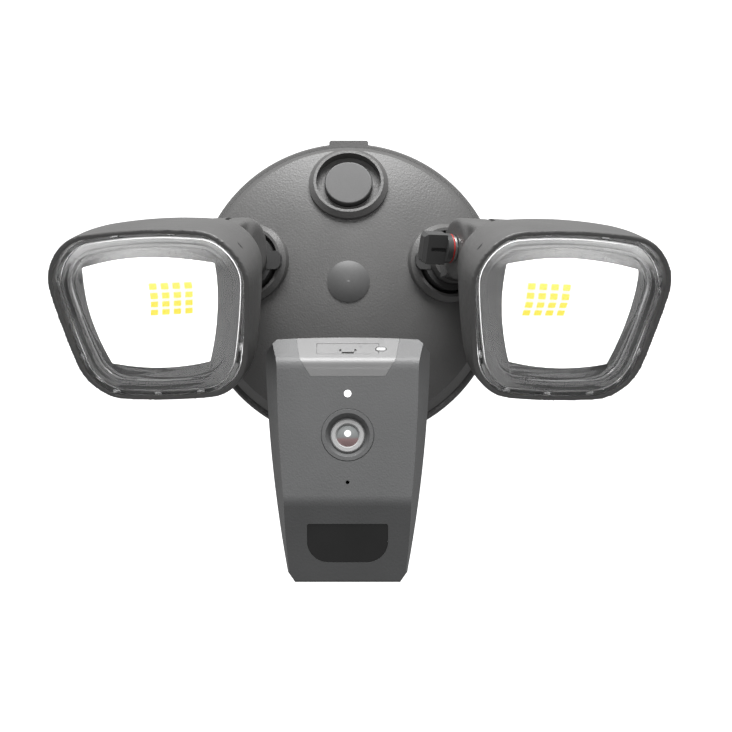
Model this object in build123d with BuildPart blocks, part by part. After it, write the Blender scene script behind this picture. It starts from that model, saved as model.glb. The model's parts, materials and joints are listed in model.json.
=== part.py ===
from build123d import *
from math import cos, radians, sin, sqrt
import os

# Floodlight security camera for a wall or a junction box.
# The wall is the plane Y = 0, the front looks along -Y and +Z is up.
# The origin is the middle of the mounting bracket, on the wall.

# ---- base ----
base_radius = 73.0
dome_radius = 179.0
dome_edge_radius = 67.2
dome_height = 27.0
base_wall = 3.0
gasket_thickness = 2.0
dome_centre = dome_radius - dome_height

# ---- the three round sockets on the dome ----
socket_radius = 19.0
socket_height = 3.0
socket_depth = 8.0
recess_radius = 15.5
recess_floor = 2.0
stem_radius = 9.9
stem_hole_radius = 10.0
lamp_socket_x = 47.0
lamp_socket_z = 10.2
blank_socket_z = 49.0
blank_plug_radius = 11.5

# ---- centre fixing ----
cap_radius = 10.0
cap_height = 2.3
screw_head_radius = 5.2
screw_shank_radius = 2.9
centre_boss_radius = 11.5
cap_seat_depth = 7.0

# ---- mounting bracket ----
bracket_length = 106.0
bracket_width = 24.0
slot_spacing = 88.9
slot_length = 14.0
slot_width = 5.0

# ---- lamp heads ----
lamp_yaw = 21.0
lamp_pitch = 25.0
lamp_roll = 2.2
barrel_height = 33.0
barrel_radius = 14.6
lug_lengths = {1: 18.1, -1: 14.3}
cheek_length = 16.0
hinge_gap = 0.3
head_back = 50.0
head_drop = 18.6
lug_to_centre = 18.8
hood_wall = 2.4
# depth behind the front edge, inset of the outline and lift of its top edge
hood_stations = (
    (7.0, 0.0, 0.0),
    (0.0, 0.0, 0.0),
    (-12.0, 1.2, 0.9),
    (-25.0, 4.6, 3.3),
    (-34.0, 10.5, 4.5),
    (-40.5, 17.0, 4.0),
)
lamp_led_pitch = (6.0, 4.5)
lamp_led_size = (3.5, 2.8, 0.7)
led_plane = -31.4
panel_shift = 2.7
chip_shift = 2.4
clamp_screw_length = 29.0
clamp_screw_radius = 2.5
clamp_hole_radius = 2.55

# ---- camera unit ----
front_y = 84.0
shoulder_y = 67.0
seam_y = 66.0
back_y = 50.0
crown_z = -36.7
brow_z = -48.6
crease_z = -111.0
foot_z = -145.3
lower_face_angle = 20.0
slope_angle = 35.0
shell_wall = 2.2
brow_rounding = 10.0
lens_z = -81.4
indicator_z = -62.7
microphone_z = -102.6
pan_y = 38.0
tilt_y = 56.0
neck_z = -52.8
block_radius = 7.0
block_half = 7.7
tilt_barrel_radius = 6.0
pin_radius = 2.5
pin_clearance = 0.05

os.makedirs("parts", exist_ok=True)


def keep(piece, node):
    piece.part.label = node
    export_step(piece.part, f"parts/{node}.step")


def dome_y(radius, inset=0.0):
    """Y of the dome's surface at a radius, or of a surface that far inside it."""
    return dome_centre - sqrt((dome_radius - inset) ** 2 - radius**2)


def crown_arc(edge_radius, edge_y, apex_y):
    """Arc of a sphere centred on the axis, from an edge to its pole."""
    rise = abs(apex_y - edge_y)
    sphere = (edge_radius**2 + rise**2) / (2 * rise)
    sag = sphere - sqrt(sphere**2 - (edge_radius / 2) ** 2)
    return ThreePointArc((edge_radius, edge_y), (edge_radius / 2, apex_y + sag), (0, apex_y))


# ================= base =================

blank_socket = Plane(
    origin=(0, dome_y(blank_socket_z), blank_socket_z),
    x_dir=(1, 0, 0),
    z_dir=(0, dome_y(blank_socket_z) - dome_centre, blank_socket_z),
)


def lamp_socket(side):
    """Plane of one lamp socket: its normal leaves the dome, its x is the viewer's right."""
    yaw = radians(lamp_yaw)
    place = (side * lamp_socket_x, dome_y(sqrt(lamp_socket_x**2 + lamp_socket_z**2)), lamp_socket_z)
    return Plane(origin=place, x_dir=(cos(yaw), side * sin(yaw), 0), z_dir=(side * sin(yaw), -cos(yaw), 0))


sockets = [blank_socket, lamp_socket(1), lamp_socket(-1)]

with BuildPart() as base_housing:
    with BuildSketch(Plane.XY):
        with BuildLine():
            inner_edge = dome_edge_radius - base_wall
            ThreePointArc(
                (0, -dome_height),
                (dome_edge_radius / 2, dome_y(dome_edge_radius / 2)),
                (dome_edge_radius, dome_y(dome_edge_radius)),
            )
            Polyline(
                (dome_edge_radius, dome_y(dome_edge_radius)),
                (70.4, -6.6),
                (69.4, -6.2),
                (69.4, -5.2),
                (72.2, -5.2),
                (base_radius, -4.4),
                (base_radius, -gasket_thickness),
                (68.0, -gasket_thickness),
                (67.2, -6.2),
                (inner_edge, dome_y(inner_edge, base_wall)),
            )
            ThreePointArc(
                (inner_edge, dome_y(inner_edge, base_wall)),
                (inner_edge / 2, dome_y(inner_edge / 2, base_wall)),
                (0, -dome_height + base_wall),
            )
            Line((0, -dome_height + base_wall), (0, -dome_height))
        make_face()
    revolve(axis=Axis.Y)
    # small catch tab on top of the rim
    with BuildSketch(Plane.XZ.offset(gasket_thickness)):
        with Locations((0, base_radius - 1.0)):
            RectangleRounded(19.0, 4.8, 1.2)
    extrude(amount=3.2)
    # sockets
    for socket in sockets:
        with BuildSketch(socket.offset(-socket_depth)):
            Circle(socket_radius)
        extrude(amount=socket_depth + 0.8)
        with BuildSketch(socket.offset(0.8)):
            Circle(socket_radius)
        extrude(amount=socket_height - 0.8, taper=45)
    for socket in sockets:
        with BuildSketch(socket.offset(socket_height)):
            Circle(recess_radius)
        extrude(amount=-socket_height - recess_floor, mode=Mode.SUBTRACT)
        with BuildSketch(socket.offset(socket_height)):
            Circle(stem_hole_radius)
        extrude(amount=-20.0, mode=Mode.SUBTRACT)
    # centre boss for the fixing screw, with a seat for the cap in front
    with BuildSketch(Plane.XZ.offset(16.0)):
        Circle(centre_boss_radius)
    extrude(amount=dome_height - 18.0)
    with BuildSketch(Plane.XZ.offset(dome_height + 1)):
        Circle(cap_radius - 1.2)
    extrude(amount=-cap_seat_depth - 1, mode=Mode.SUBTRACT)
    with BuildSketch(Plane.XZ.offset(dome_height + 1)):
        Circle(screw_shank_radius + 0.3)
    extrude(amount=-15.0, mode=Mode.SUBTRACT)
    # posts for the driver
    with BuildSketch(Plane.XZ.offset(15.0)):
        with Locations((-20, -32), (20, -32)):
            Circle(3.2)
    extrude(amount=5.0)
    # wire opening behind the camera bracket
    with BuildSketch(Plane.XZ.offset(dome_height)):
        with Locations((0, -58)):
            SlotOverall(10, 5)
    extrude(amount=-20.0, mode=Mode.SUBTRACT)
    with BuildSketch(Plane.XZ.offset(14.0)):
        with Locations((-20, -32), (20, -32)):
            Circle(1.6)
    extrude(amount=5.0, mode=Mode.SUBTRACT)
keep(base_housing, "base_housing")

with BuildPart() as wall_gasket:
    with BuildSketch(Plane.XZ):
        Circle(72.4)
        Circle(62.0, mode=Mode.SUBTRACT)
    extrude(amount=gasket_thickness)
keep(wall_gasket, "wall_gasket")

with BuildPart() as mounting_bracket:
    with BuildSketch(Plane.XZ):
        RectangleRounded(bracket_length, bracket_width, 5.0)
        with Locations((-slot_spacing / 2, 0), (slot_spacing / 2, 0)):
            SlotOverall(slot_length, slot_width, mode=Mode.SUBTRACT)
        Circle(screw_shank_radius + 0.1, mode=Mode.SUBTRACT)
    extrude(amount=gasket_thickness)
    with BuildSketch(Plane.XZ.offset(gasket_thickness)):
        Circle(8.0)
        Circle(screw_shank_radius + 0.1, mode=Mode.SUBTRACT)
    extrude(amount=3.0)
keep(mounting_bracket, "mounting_bracket")

with BuildPart() as centre_screw:
    with BuildSketch(Plane.XZ.offset(0.4)):
        Circle(screw_shank_radius)
    extrude(amount=dome_height - cap_seat_depth - 0.4)
    with BuildSketch(Plane.XZ.offset(dome_height - cap_seat_depth)):
        Circle(screw_head_radius)
    extrude(amount=3.0)
    with BuildSketch(Plane.XZ.offset(dome_height - cap_seat_depth + 3.0)):
        Rectangle(7.5, 1.4)
        Rectangle(1.4, 7.5)
    extrude(amount=-1.6, mode=Mode.SUBTRACT)
    chamfer(centre_screw.faces().sort_by(Axis.Y)[0].edges().filter_by(GeomType.CIRCLE), 0.5)
keep(centre_screw, "centre_screw")

# rubber cap: a low dome on a plug that sits in front of the screw
with BuildPart() as centre_cap:
    with BuildSketch(Plane.XY):
        with BuildLine():
            Polyline(
                (0, -23.6),
                (cap_radius - 1.35, -23.6),
                (cap_radius - 1.35, dome_y(cap_radius) - 0.45),
                (cap_radius, dome_y(cap_radius) - 0.45),
            )
            crown_arc(cap_radius, dome_y(cap_radius) - 0.45, -dome_height - cap_height)
            Line((0, -dome_height - cap_height), (0, -23.6))
        make_face()
    revolve(axis=Axis.Y)
keep(centre_cap, "centre_cap")

# blank plug of the unused top socket, and its seal
with BuildPart() as socket_plug:
    with BuildSketch(blank_socket.offset(-12.0)):
        Circle(stem_radius)
    extrude(amount=12.0 - recess_floor + 1.0)
    with BuildSketch(blank_socket.offset(-recess_floor + 1.0)):
        Circle(blank_plug_radius)
    extrude(amount=2.6)
    fillet(socket_plug.faces().sort_by(Axis.Y)[0].edges(), 0.7)
keep(socket_plug, "socket_plug")

with BuildPart() as plug_seal:
    with BuildSketch(blank_socket.offset(-recess_floor)):
        Circle(blank_plug_radius)
        Circle(stem_radius, mode=Mode.SUBTRACT)
    extrude(amount=1.0)
keep(plug_seal, "plug_seal")


with BuildPart() as led_driver:
    with BuildSketch(Plane.XZ.offset(4.0)):
        with Locations((0, -32)):
            RectangleRounded(54, 26, 2.0)
            with Locations((-20, 0), (20, 0)):
                Circle(1.7, mode=Mode.SUBTRACT)
    extrude(amount=10.8)
keep(led_driver, "led_driver")

with BuildPart() as driver_screws:
    with BuildSketch(Plane.XZ.offset(4.0)):
        with Locations((-20, -32), (20, -32)):
            Circle(3.0)
    extrude(amount=-1.6)
    with BuildSketch(Plane.XZ.offset(4.0)):
        with Locations((-20, -32), (20, -32)):
            Circle(1.55)
    extrude(amount=14.0)
keep(driver_screws, "driver_screws")

# ================= camera neck =================

pan_axis = Plane(origin=(0, -pan_y, neck_z), x_dir=(1, 0, 0), z_dir=(0, 0, 1))
ear_gap = block_half + 0.3
ear_top = 12.0

with BuildPart() as camera_bracket:
    with BuildSketch(Plane.XZ.offset(10.0)):
        with Locations((0, neck_z)):
            RectangleRounded(27, 25, 4.0)
    extrude(amount=20.0)
    for foot in (ear_gap, -ear_top):
        with BuildSketch(pan_axis.offset(foot)):
            Circle(block_radius)
            with Locations((0, 6)):
                Rectangle(2 * block_radius, 12)
        extrude(amount=ear_top - ear_gap)
    with Locations((0, dome_centre, 0)):
        Sphere(dome_radius, mode=Mode.SUBTRACT)
    with BuildSketch(pan_axis.offset(-ear_top - 1)):
        Circle(pin_radius)
    extrude(amount=2 * ear_top + 2, mode=Mode.SUBTRACT)
keep(camera_bracket, "camera_bracket")

with BuildPart() as pan_pin:
    with BuildSketch(pan_axis.offset(-ear_top)):
        Circle(pin_radius)
    extrude(amount=2 * ear_top)
    with BuildSketch(pan_axis.offset(ear_top)):
        Circle(pin_radius + 1.3)
    extrude(amount=1.2)
keep(pan_pin, "pan_pin")

tilt_axis = Plane(origin=(0, -tilt_y, neck_z), x_dir=(0, -1, 0), z_dir=(1, 0, 0))

with BuildPart() as swivel_block:
    with BuildSketch(pan_axis.offset(-block_half)):
        Circle(block_radius)
    extrude(amount=2 * block_half)
    with BuildSketch(tilt_axis.offset(-8.7)):
        Circle(tilt_barrel_radius)
    extrude(amount=17.4)
    with BuildSketch(Plane.XZ.offset(pan_y)):
        with Locations((0, neck_z)):
            Rectangle(9, 9.6)
    extrude(amount=tilt_y - pan_y)
    with BuildSketch(pan_axis.offset(-block_half - 1)):
        Circle(pin_radius + pin_clearance)
    extrude(amount=2 * block_half + 2, mode=Mode.SUBTRACT)
    with BuildSketch(tilt_axis.offset(-10)):
        Circle(pin_radius + pin_clearance)
    extrude(amount=20, mode=Mode.SUBTRACT)
keep(swivel_block, "swivel_block")

with BuildPart() as tilt_pin:
    with BuildSketch(tilt_axis.offset(-13.0)):
        Circle(pin_radius)
    extrude(amount=26.0)
keep(tilt_pin, "tilt_pin")

# ================= camera unit =================


def front_outline(half_top, half_bottom, top, bottom, bulge, corner, inset):
    """Face of the camera unit seen from the front, narrower at the foot, with cut corners."""
    drop = 4.6 * corner
    with BuildSketch() as outline:
        with BuildLine():
            Polyline((-half_bottom, bottom + drop), (-half_bottom + 3.2 * corner, bottom))
            Line((-half_bottom + 3.2 * corner, bottom), (half_bottom - 3.2 * corner, bottom))
            Line((half_bottom - 3.2 * corner, bottom), (half_bottom, bottom + drop))
            middle = (bottom + drop + top - drop) / 2
            ThreePointArc(
                (half_bottom, bottom + drop),
                ((half_top + half_bottom) / 2 + bulge, middle),
                (half_top, top - drop),
            )
            Line((half_top, top - drop), (half_top - 5.0 * corner, top))
            ThreePointArc(
                (half_top - 5.0 * corner, top),
                (0, top + 1.0),
                (-half_top + 5.0 * corner, top),
            )
            Line((-half_top + 5.0 * corner, top), (-half_top, top - drop))
            ThreePointArc(
                (-half_top, top - drop),
                (-(half_top + half_bottom) / 2 - bulge, middle),
                (-half_bottom, bottom + drop),
            )
        make_face()
        if inset:
            offset(amount=-inset, kind=Kind.INTERSECTION)
    return outline.sketch


def side_profile(inset):
    """Side of the camera unit: slope, main face, lower face and foot, as local (x = Y, y = Z)."""
    slope_run = 18.0
    brow = (-front_y, brow_z)
    crown = (
        -front_y + slope_run * sin(radians(slope_angle)),
        brow_z + slope_run * cos(radians(slope_angle)),
    )
    foot = (-front_y + 36.5 * sin(radians(lower_face_angle)), foot_z)
    with BuildSketch() as profile:
        with BuildLine():
            Polyline(
                (-40.0, crown[1]),
                crown,
                brow,
                (-front_y, crease_z),
                foot,
                (-54.0, foot_z + 1.4),
                (-40.0, foot_z + 1.4),
                close=True,
            )
        make_face()
        fillet(profile.vertices().sort_by(Axis.X)[:2].sort_by(Axis.Y)[1:], brow_rounding)
        fillet(profile.vertices().sort_by_distance((-front_y, crease_z))[0], 12.0)
        fillet(profile.vertices().sort_by_distance(crown)[0], 1.5)
        if inset:
            offset(amount=-inset, kind=Kind.INTERSECTION)
    return profile.sketch


def envelope(inset):
    """The camera unit's front half as a solid, from the seam forward, that much smaller all round."""
    with BuildPart() as body:
        for depth, halves, corner in ((seam_y, (37.4, 26.8), 1.0), (front_y, (31.9, 24.2), 0.12)):
            outline = front_outline(*halves, crown_z, foot_z, 2.0, corner, inset)
            with BuildSketch(Plane.XZ.offset(depth)):
                add(outline)
        loft(ruled=True)
        with BuildSketch(Plane.YZ.offset(-50)):
            add(side_profile(inset))
        extrude(amount=100, mode=Mode.INTERSECT)
    return body.part


outer_front = envelope(0)
trim_layer = envelope(1.4)
inner_front = envelope(shell_wall)

slope_plane = Plane(
    origin=(0, -front_y, brow_z),
    x_dir=(1, 0, 0),
    z_dir=(0, -cos(radians(slope_angle)), sin(radians(slope_angle))),
)
lower_plane = Plane(
    origin=(0, -front_y, crease_z),
    x_dir=(1, 0, 0),
    z_dir=(0, -cos(radians(lower_face_angle)), -sin(radians(lower_face_angle))),
)


def trim_outline(growth):
    """Trapezoid of the top trim seen from the front."""
    with BuildSketch() as outline:
        with BuildLine():
            Polyline(
                (-24.0, crown_z + 5),
                (-21.6, brow_z + 2.0),
                (-16.8, brow_z - 6.2),
                (16.8, brow_z - 6.2),
                (21.6, brow_z + 2.0),
                (24.0, crown_z + 5),
                close=True,
            )
        make_face()
        if growth:
            offset(amount=growth, kind=Kind.INTERSECTION)
    return outline.sketch


def flap_outline(growth):
    """Card slot flap on the slope, notched round the reset button."""
    with BuildSketch() as outline:
        with Locations((0, 8.6)):
            Rectangle(27.8 + 2 * growth, 6.4 + 2 * growth)
        with Locations((15.0, 8.4)):
            SlotOverall(5.4 - 2 * growth, 3.2 - 2 * growth, mode=Mode.SUBTRACT)
    return outline.sketch


flap_thickness = 1.0

with BuildPart() as top_trim:
    with BuildSketch(Plane.XZ.offset(front_y - 20)):
        add(trim_outline(0))
    extrude(amount=24)
    add(outer_front, mode=Mode.INTERSECT)
    add(trim_layer, mode=Mode.SUBTRACT)
    with BuildSketch(slope_plane):
        add(flap_outline(0.15))
        with Locations((15.0, 8.4)):
            SlotOverall(4.9, 2.7)
    extrude(amount=3.0, both=True, mode=Mode.SUBTRACT)
keep(top_trim, "top_trim")

# room that the top trim takes out of the shell
with BuildPart() as trim_seat:
    with BuildSketch(Plane.XZ.offset(front_y - 20)):
        add(trim_outline(0.08))
    extrude(amount=24)
    add(trim_layer, mode=Mode.SUBTRACT)

bezel_radius = 11.9
lens_barrel_radius = 7.5
lens_radius = 5.05
pir_width = 36.0
pir_height = 17.6
pir_drop = 19.2
boss_places = [(-22, -49), (22, -49), (-18, -128), (18, -128)]


def pir_outline(growth):
    """Flat-topped window with broad rounded lower corners."""
    with BuildSketch() as outline:
        with Locations((0, -pir_drop)):
            Rectangle(pir_width + 2 * growth, pir_height + 2 * growth)
        fillet(outline.vertices().group_by(Axis.Y)[0], 9.5 + growth)
        fillet(outline.vertices().group_by(Axis.Y)[-1], 1.0)
    return outline.sketch


with BuildPart() as shell_bosses:
    with BuildSketch(Plane.XZ.offset(seam_y)):
        with Locations(*boss_places):
            Circle(3.2)
    extrude(amount=front_y - seam_y)
    add(outer_front, mode=Mode.INTERSECT)

with BuildPart() as front_shell:
    add(outer_front)
    add(inner_front, mode=Mode.SUBTRACT)
    add(shell_bosses.part)
    add(trim_seat.part, mode=Mode.SUBTRACT)
    with BuildSketch(Plane.XZ.offset(front_y + 1)):
        with Locations((0, lens_z)):
            Circle(bezel_radius)
        with Locations((0, indicator_z)):
            Circle(1.65)
        with Locations((0, microphone_z)):
            Circle(0.85)
    extrude(amount=-6.0, mode=Mode.SUBTRACT)
    with BuildSketch(lower_plane.offset(1)):
        add(pir_outline(0))
    extrude(amount=-5.0, mode=Mode.SUBTRACT)
    with BuildSketch(slope_plane.offset(1)):
        with Locations((0, 8.4)):
            Rectangle(17, 2.6)
        with Locations((15.0, 8.4)):
            SlotOverall(4.7, 2.5)
    extrude(amount=-6.0, mode=Mode.SUBTRACT)
    with BuildSketch(Plane.XZ.offset(seam_y - 1)):
        with Locations(*boss_places):
            Circle(1.3)
    extrude(amount=11.0, mode=Mode.SUBTRACT)
keep(front_shell, "front_shell")

with BuildPart() as slot_flap:
    with BuildSketch(slope_plane.offset(-0.05 - flap_thickness)):
        add(flap_outline(0))
    extrude(amount=flap_thickness)
    # finger lip with a notch at each end
    with BuildSketch(slope_plane.offset(-0.05)):
        with Locations((0, 7.0)):
            Rectangle(5.4, 1.8)
    extrude(amount=0.55)
    with BuildSketch(slope_plane.offset(-0.05)):
        with Locations((-3.4, 7.2), (3.4, 7.2)):
            Rectangle(0.9, 2.2)
    extrude(amount=-0.6, mode=Mode.SUBTRACT)
keep(slot_flap, "slot_flap")

with BuildPart() as reset_button:
    with BuildSketch(slope_plane.offset(-4.2)):
        with Locations((15.0, 8.4)):
            SlotOverall(4.5, 2.3)
    extrude(amount=4.4)
    fillet(reset_button.faces().sort_by(Axis.Y)[0].edges(), 0.3)
keep(reset_button, "reset_button")

with BuildPart() as memory_card:
    with BuildSketch(slope_plane.offset(-3.2)):
        with Locations((0, 8.4)):
            Rectangle(11.0, 1.0)
    extrude(amount=-13.0)
keep(memory_card, "memory_card")

with BuildPart() as lens_bezel:
    with BuildSketch(Plane(origin=(0, 0, lens_z))):
        with BuildLine():
            Polyline(
                (lens_barrel_radius + 0.05, -front_y + 5.6),
                (bezel_radius - 0.08, -front_y + 5.6),
                (bezel_radius - 0.08, -front_y + 0.2),
                (bezel_radius - 0.4, -front_y - 0.1),
                (9.9, -front_y - 0.1),
                (lens_barrel_radius + 0.5, -front_y + 2.6),
                (lens_barrel_radius + 0.05, -front_y + 2.6),
                close=True,
            )
        make_face()
    revolve(axis=Axis((0, 0, lens_z), (0, 1, 0)))
keep(lens_bezel, "lens_bezel")

with BuildPart() as lens_barrel:
    with BuildSketch(Plane(origin=(0, 0, lens_z))):
        with BuildLine():
            Polyline(
                (0, -front_y + 13.0),
                (lens_barrel_radius, -front_y + 13.0),
                (lens_barrel_radius, -front_y + 2.0),
                (lens_barrel_radius - 0.4, -front_y + 1.7),
                (lens_radius + 0.5, -front_y + 1.7),
                (lens_radius, -front_y + 2.2),
                (lens_radius, -front_y + 4.0),
                (0, -front_y + 4.0),
                close=True,
            )
        make_face()
    revolve(axis=Axis((0, 0, lens_z), (0, 1, 0)))
keep(lens_barrel, "lens_barrel")

with BuildPart() as lens_glass:
    with BuildSketch(Plane(origin=(0, 0, lens_z))):
        with BuildLine():
            Polyline((0, -front_y + 4.0), (lens_radius, -front_y + 4.0), (lens_radius, -front_y + 2.6))
            crown_arc(lens_radius, -front_y + 2.6, -front_y + 1.4)
            Line((0, -front_y + 1.4), (0, -front_y + 4.0))
        make_face()
    revolve(axis=Axis((0, 0, lens_z), (0, 1, 0)))
keep(lens_glass, "lens_glass")

with BuildPart() as indicator_lens:
    with BuildSketch(Plane.XZ.offset(front_y - 12.9)):
        with Locations((0, indicator_z)):
            Circle(1.6)
    extrude(amount=12.9)
keep(indicator_lens, "indicator_lens")

with BuildPart() as pir_window:
    with BuildSketch(lower_plane.offset(-0.15)):
        add(pir_outline(-0.1))
    extrude(amount=-1.6)
keep(pir_window, "pir_window")

with BuildPart() as pir_sensor:
    with BuildSketch(lower_plane.offset(-4.0)):
        with Locations((0, -pir_drop)):
            Circle(4.6)
    extrude(amount=-4.0)
    with BuildSketch(lower_plane.offset(-4.0)):
        with Locations((0, -pir_drop)):
            Rectangle(4.4, 3.4)
    extrude(amount=-0.5, mode=Mode.SUBTRACT)
keep(pir_sensor, "pir_sensor")

board_y = front_y - 13.0

with BuildPart() as main_board:
    with BuildSketch(Plane.XZ.offset(board_y)):
        with Locations((0, -87)):
            RectangleRounded(40, 58, 2.0)
    extrude(amount=-1.6)
    with BuildSketch(Plane.XZ.offset(board_y)):
        with Locations((-10, -98), (11, -100)):
            Rectangle(9, 9)
        with Locations((13, -84)):
            Rectangle(5, 7)
    extrude(amount=1.2)
keep(main_board, "main_board")

with BuildPart() as shell_gasket:
    with BuildSketch(Plane.XZ.offset(seam_y - 0.8)):
        add(front_outline(37.4, 26.8, crown_z, foot_z, 2.0, 1.0, 0.5))
        add(front_outline(37.4, 26.8, crown_z, foot_z, 2.0, 1.0, 1.9), mode=Mode.SUBTRACT)
    extrude(amount=0.8)
keep(shell_gasket, "shell_gasket")

pocket_half = 14.0
pocket_floor = 64.5

with BuildPart() as rear_shell:
    for depth, inset in ((back_y, 2.8), (seam_y - 0.8, 0.0)):
        outline = front_outline(37.4, 26.8, crown_z, foot_z, 2.0, 1.0, inset)
        with BuildSketch(Plane.XZ.offset(depth)):
            add(outline)
    loft(ruled=True)
    with BuildSketch(Plane.XZ.offset(back_y + shell_wall)):
        add(front_outline(37.4, 26.8, crown_z, foot_z, 2.0, 1.0, shell_wall + 2.2))
    extrude(amount=20, mode=Mode.SUBTRACT)
    # walls of the neck pocket
    with BuildSketch(Plane.XZ.offset(back_y)):
        with Locations((0, neck_z)):
            Rectangle(2 * pocket_half + 4, 28)
    extrude(amount=pocket_floor - back_y + 0.5)
    with BuildSketch(Plane.XZ.offset(back_y - 1)):
        with Locations((0, neck_z)):
            Rectangle(2 * pocket_half, 24)
    extrude(amount=pocket_floor - back_y - 1, mode=Mode.SUBTRACT)
    # lugs that hold the tilt pin
    for start in (9.0, -pocket_half):
        with BuildSketch(tilt_axis.offset(start)):
            Circle(5.0)
            with Locations((4.0, 0)):
                Rectangle(8.0, 10.0)
        extrude(amount=pocket_half - 9.0)
    with BuildSketch(tilt_axis.offset(-13.0)):
        Circle(pin_radius)
    extrude(amount=26.0, mode=Mode.SUBTRACT)
    with BuildSketch(Plane.XZ.offset(back_y)):
        with Locations(*boss_places[2:]):
            Circle(4.2)
        with Locations(*boss_places[:2]):
            Circle(4.2)
    extrude(amount=seam_y - 0.8 - back_y)
    with BuildSketch(Plane.XZ.offset(back_y - 1)):
        with Locations(*boss_places):
            Circle(1.9)
    extrude(amount=20, mode=Mode.SUBTRACT)
    with BuildSketch(Plane.XZ.offset(back_y - 1)):
        with Locations(*boss_places):
            Circle(3.1)
    extrude(amount=8.0, mode=Mode.SUBTRACT)
keep(rear_shell, "rear_shell")

with BuildPart() as shell_screws:
    with BuildSketch(Plane.XZ.offset(back_y + 7.0)):
        with Locations(*boss_places):
            Circle(2.8)
    extrude(amount=-2.0)
    with BuildSketch(Plane.XZ.offset(back_y + 7.0)):
        with Locations(*boss_places):
            Circle(1.25)
    extrude(amount=16.0)
keep(shell_screws, "shell_screws")

with BuildPart() as speaker:
    with BuildSketch(Plane.XZ.offset(back_y + shell_wall)):
        with Locations((0, -106)):
            Circle(14.0)
    extrude(amount=5.0)
keep(speaker, "speaker")

# ================= lamps =================

hood_corner = 19.0
knob_disc_radius = 6.9
washer_radius = 6.3


class LampPlanes:
    """Planes of one lamp. Their x is the viewer's right; hinge.z points outboard along the barrel."""

    def __init__(self, side):
        yaw, pitch, roll = radians(lamp_yaw), radians(lamp_pitch), radians(lamp_roll)
        self.side = side
        self.socket = lamp_socket(side)
        outward = Vector(side * sin(yaw), -cos(yaw), 0)
        right = Vector(cos(yaw) * cos(roll), side * sin(yaw) * cos(roll), side * sin(roll))
        self.stem = Plane(origin=self.socket.origin, x_dir=right, z_dir=outward)
        facing = outward * cos(pitch) - self.stem.y_dir * sin(pitch)
        # the joint face lies outboard of the stem on the right lamp and inboard on the left one
        self.joint_x = 7.2 if side > 0 else -4.8
        joint = self.stem.origin + outward * barrel_height + right * (side * self.joint_x)
        self.hinge = Plane(origin=joint, x_dir=facing, z_dir=right * side)
        upright = facing.cross(right)
        middle = joint + right * (side * lug_to_centre) + facing * head_back - upright * head_drop
        self.head = Plane(origin=middle, x_dir=right, z_dir=facing)
        self.panel = Plane(origin=middle + right * (side * panel_shift), x_dir=right, z_dir=facing)
        self.profile = Plane(origin=middle, x_dir=upright, z_dir=right)
        # the knob stands at the viewer's left end of the barrel on both lamps
        self.lug_length = lug_lengths[side]
        self.knob_end = -self.lug_length if side > 0 else cheek_length
        self.knob_way = -side


def hood_outline(inset, lift=0.0):
    """Lamp seen from its front: a rounded trapezoid, wider at the top, with bulged edges."""
    top, bottom, mid = 51.9 - 1.08 * inset, 38.4 - 1.08 * inset, 47.1 - inset
    high, low = 36.8 - inset + lift, -37.0 + inset
    with BuildSketch() as outline:
        with BuildLine():
            ThreePointArc((-top, high), (0, high + 4.8), (top, high))
            ThreePointArc((top, high), (mid, -0.5), (bottom, low))
            ThreePointArc((bottom, low), (0, low - 2.4), (-bottom, low))
            ThreePointArc((-bottom, low), (-mid, -0.5), (-top, high))
        make_face()
        fillet(outline.vertices(), hood_corner - 0.85 * inset)
    return outline.sketch


def opening_outline(growth):
    """Mouth of the reflector: sharp corners and bulged edges."""
    top, bottom, mid = 33.7 + growth, 25.3 + growth, 31.9 + growth
    high, low = 23.4 + growth, -23.4 - growth
    with BuildSketch() as outline:
        with BuildLine():
            ThreePointArc((-top, high), (0, high + 3.2), (top, high))
            ThreePointArc((top, high), (mid, -0.5), (bottom, low))
            ThreePointArc((bottom, low), (0, low - 2.7), (-bottom, low))
            ThreePointArc((-bottom, low), (-mid, -0.5), (-top, high))
        make_face()
    return outline.sketch


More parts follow.
